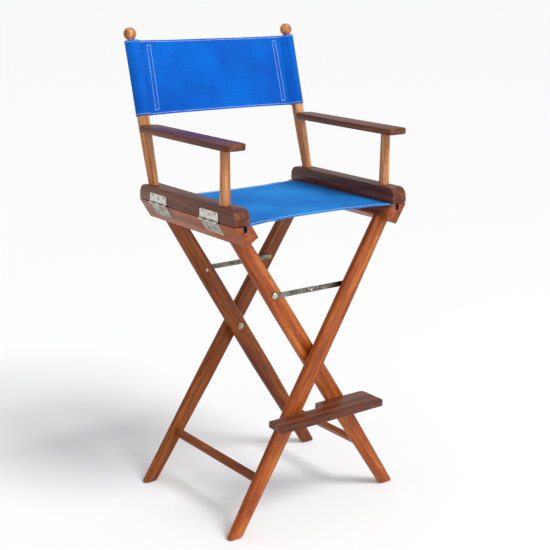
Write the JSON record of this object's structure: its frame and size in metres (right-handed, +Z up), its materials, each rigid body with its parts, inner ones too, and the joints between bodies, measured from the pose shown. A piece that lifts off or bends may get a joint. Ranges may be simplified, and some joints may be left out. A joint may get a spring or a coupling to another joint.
{
  "type": "folding chair",
  "caption": "Tall folding director's chair with crossed wooden leg frames, hinged arm frames, blue canvas seat and back, folding stays and a front footrest.",
  "frame": {"origin": "on the floor, under the middle of the chair's bounding box", "axes": "+Z up, the chair faces -Y, +X to the right of somebody looking at its front"},
  "size_m": [0.5358, 0.5358, 1.1658],
  "materials": {
    "frame_wood": "satin",
    "arm_wood": "satin",
    "post_wood": "satin",
    "canvas_blue": "matte",
    "hinge_steel": "satin",
    "stay_steel": "satin",
    "bolt_steel": "satin"
  },
  "bodies": {
    "inner_frame": {"inner_front_leg": "frame_wood", "inner_rear_leg": "frame_wood", "inner_seat_rail": "frame_wood", "inner_stretcher": "frame_wood", "inner_seat_dowel": "post_wood", "inner_front_lower_leaf": "hinge_steel", "inner_rear_lower_leaf": "hinge_steel", "front_pivot_bolt": "bolt_steel", "front_pivot_nut": "bolt_steel", "front_pivot_spacer": "bolt_steel", "rear_pivot_bolt": "bolt_steel", "rear_pivot_nut": "bolt_steel", "rear_pivot_spacer": "bolt_steel", "front_stay_left_bolt": "bolt_steel", "rear_stay_left_bolt": "bolt_steel", "footrest_bolt": "bolt_steel", "seat_canvas": "canvas_blue"},
    "outer_frame": {"outer_front_leg": "frame_wood", "outer_rear_leg": "frame_wood", "outer_seat_rail": "frame_wood", "outer_stretcher": "frame_wood", "outer_seat_dowel": "post_wood", "outer_front_lower_leaf": "hinge_steel", "outer_rear_lower_leaf": "hinge_steel", "front_stay_right_bolt": "bolt_steel", "rear_stay_right_bolt": "bolt_steel", "footrest_block": "frame_wood"},
    "left_arm": {"left_arm_base": "arm_wood", "left_front_post": "post_wood", "left_back_post": "post_wood", "left_finial": "post_wood", "left_armrest": "arm_wood", "left_back_sleeve": "canvas_blue", "left_front_upper_leaf": "hinge_steel", "left_rear_upper_leaf": "hinge_steel", "left_front_hinge_pin": "hinge_steel", "left_rear_hinge_pin": "hinge_steel", "back_panel": "canvas_blue"},
    "right_arm": {"right_arm_base": "arm_wood", "right_front_post": "post_wood", "right_back_post": "post_wood", "right_finial": "post_wood", "right_armrest": "arm_wood", "right_back_sleeve": "canvas_blue", "right_front_upper_leaf": "hinge_steel", "right_rear_upper_leaf": "hinge_steel", "right_front_hinge_pin": "hinge_steel", "right_rear_hinge_pin": "hinge_steel"},
    "front_left_stay": {"front_stay_left": "stay_steel"},
    "front_right_stay": {"front_stay_right": "stay_steel"},
    "rear_left_stay": {"rear_stay_left": "stay_steel"},
    "rear_right_stay": {"rear_stay_right": "stay_steel"},
    "footrest": {"footrest_board": "arm_wood", "footrest_cleat": "arm_wood"}
  },
  "joints": [
    {"name": "fold", "type": "hinge", "parent": "inner_frame", "child": "outer_frame", "pos_m": [0, -0.0179, 0.3953], "axis": [0, -1, 0], "range_deg": [0, 57], "deforming": ["seat_canvas", "back_panel"]},
    {"name": "left_arm_fold", "type": "hinge", "parent": "inner_frame", "child": "left_arm", "pos_m": [-0.259, -0.0179, 0.7555], "axis": [0, -1, 0], "range_deg": [0, 28.5]},
    {"name": "right_arm_fold", "type": "hinge", "parent": "outer_frame", "child": "right_arm", "pos_m": [0.259, -0.0179, 0.7555], "axis": [0, 1, 0], "range_deg": [0, 28.5]},
    {"name": "front_left_stay_swing", "type": "hinge", "parent": "inner_frame", "child": "front_left_stay", "pos_m": [-0.10811, -0.17321, 0.56499], "axis": [0, -1, 0], "range_deg": [0, 111]},
    {"name": "front_right_stay_swing", "type": "hinge", "parent": "outer_frame", "child": "front_right_stay", "pos_m": [0.10811, -0.17321, 0.56499], "axis": [0, 1, 0], "range_deg": [0, 111]},
    {"name": "rear_left_stay_swing", "type": "hinge", "parent": "inner_frame", "child": "rear_left_stay", "pos_m": [-0.10811, 0.13741, 0.56499], "axis": [0, -1, 0], "range_deg": [0, 111]},
    {"name": "rear_right_stay_swing", "type": "hinge", "parent": "outer_frame", "child": "rear_right_stay", "pos_m": [0.10811, 0.13741, 0.56499], "axis": [0, 1, 0], "range_deg": [0, 111]},
    {"name": "footrest_fold", "type": "hinge", "parent": "inner_frame", "child": "footrest", "pos_m": [0.1112, -0.2679, 0.243], "axis": [0, 1, 0], "range_deg": [0, 57]}
  ],
  "couplings": [
    {"joint": "left_arm_fold", "follows": "fold", "ratio": 0.5},
    {"joint": "right_arm_fold", "follows": "fold", "ratio": 0.5},
    {"joint": "front_left_stay_swing", "follows": "fold", "ratio": 1.9474},
    {"joint": "front_right_stay_swing", "follows": "fold", "ratio": 1.9474},
    {"joint": "rear_left_stay_swing", "follows": "fold", "ratio": 1.9474},
    {"joint": "rear_right_stay_swing", "follows": "fold", "ratio": 1.9474},
    {"joint": "footrest_fold", "follows": "fold", "ratio": 1}
  ]
}
